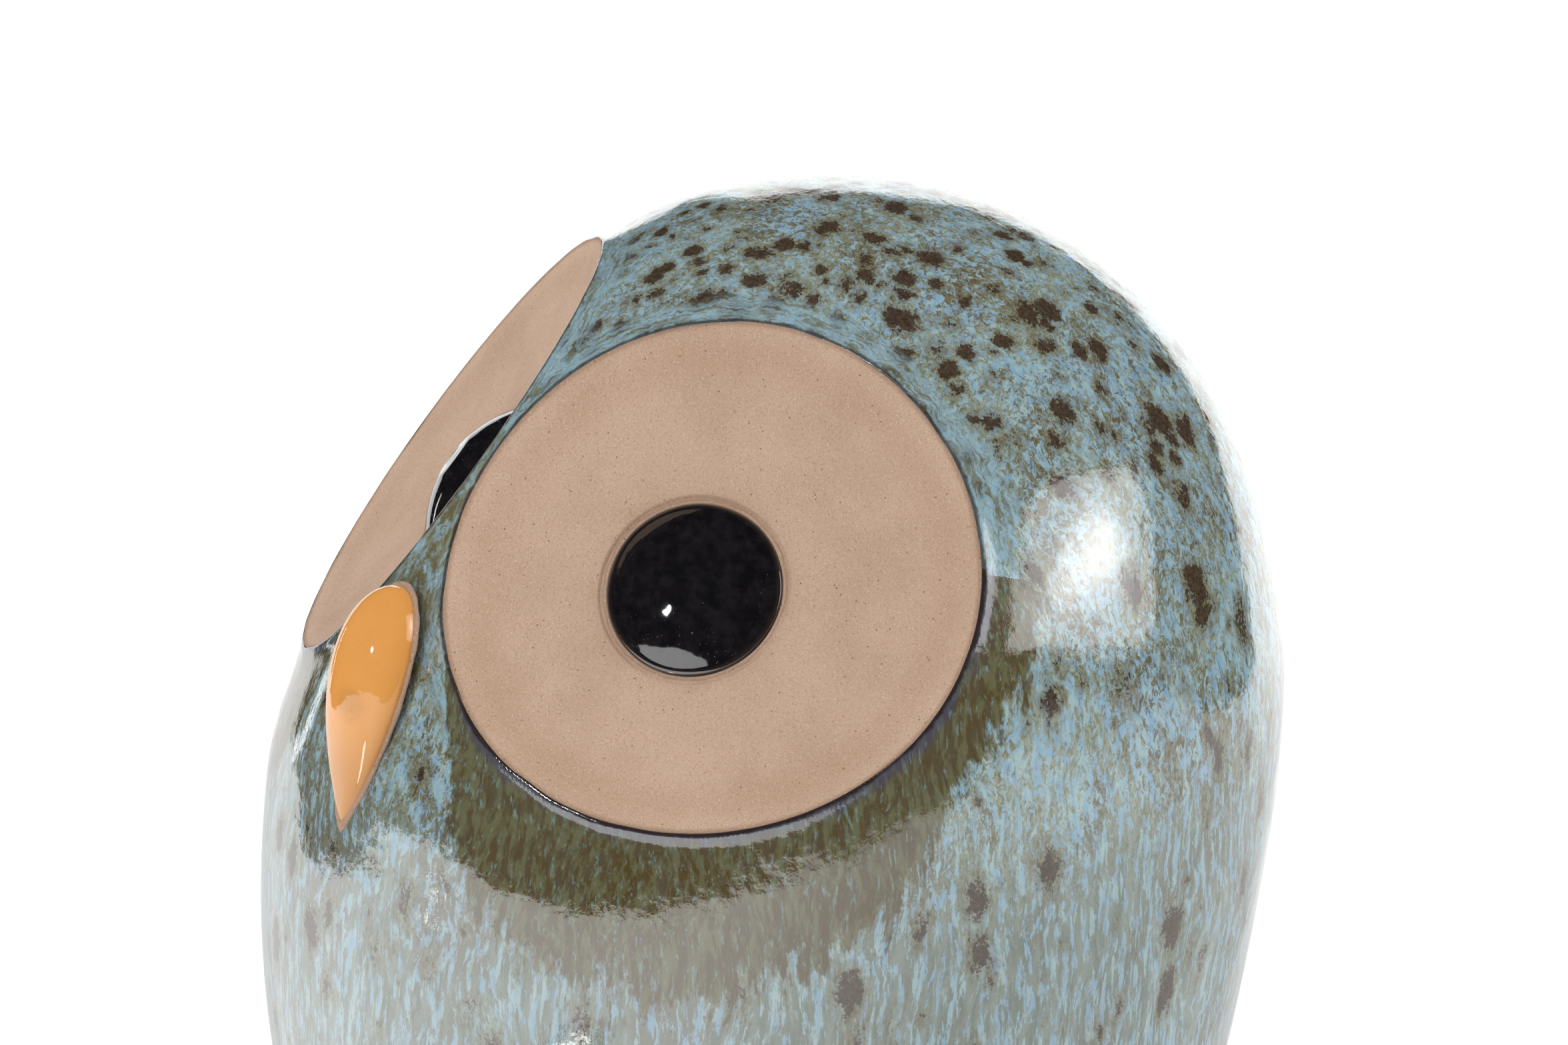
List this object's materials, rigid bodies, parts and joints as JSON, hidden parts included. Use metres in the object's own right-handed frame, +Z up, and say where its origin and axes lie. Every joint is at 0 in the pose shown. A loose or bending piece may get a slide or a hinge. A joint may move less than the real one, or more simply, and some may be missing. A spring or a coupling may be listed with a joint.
{
  "type": "figural animal coin bank",
  "caption": "Hollow glazed stoneware owl coin bank with dished bisque eye discs, domed pupils, a teardrop beak, a coin slot in the back of the head and a rubber stopper in the base.",
  "frame": {"origin": "on the floor plane under the centre of the bank's bounding box", "axes": "+Z up, the owl faces -Y, its own left side is +X"},
  "size_m": [0.1486, 0.1538, 0.1899],
  "materials": {
    "reactive_glaze": "glossy",
    "bisque": "matte",
    "black_glaze": "glossy",
    "orange_glaze": "glossy",
    "stopper_rubber": "matte"
  },
  "bodies": {
    "bank": {"body_shell": "reactive_glaze", "left_eye_disc": "bisque", "left_pupil": "black_glaze", "right_eye_disc": "bisque", "right_pupil": "black_glaze", "beak": "orange_glaze"},
    "stopper": {"base_stopper": "stopper_rubber"}
  },
  "joints": [
    {"name": "stopper_pull", "type": "slide", "parent": "bank", "child": "stopper", "axis": [0, 0, -1], "range_m": [0, 0.03]}
  ]
}
